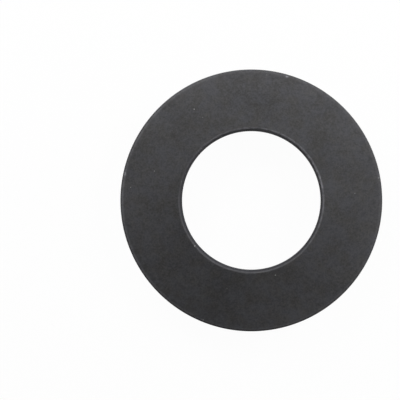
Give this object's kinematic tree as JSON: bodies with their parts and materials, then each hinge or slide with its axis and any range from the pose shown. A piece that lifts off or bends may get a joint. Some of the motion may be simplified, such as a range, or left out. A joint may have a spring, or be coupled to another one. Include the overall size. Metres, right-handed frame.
{
  "type": "conical spring washer",
  "caption": "Conical spring washer: a dark steel ring pressed to a shallow cone, which keeps a bolted joint under load.",
  "frame": {"origin": "on the washer's axis, at the height of the wide rim that it rests on", "axes": "+Z along the axis, from the hollow side to the hump side; X and Y lie along the surface and are alike, because the washer is round"},
  "size_m": [0.023, 0.023, 0.0018],
  "materials": {
    "steel": "dark grey phosphate on spring steel, dry and matt, with a fine even grain"
  },
  "bodies": {
    "root": {"conical_spring_washer": "steel"}
  },
  "joints": []
}
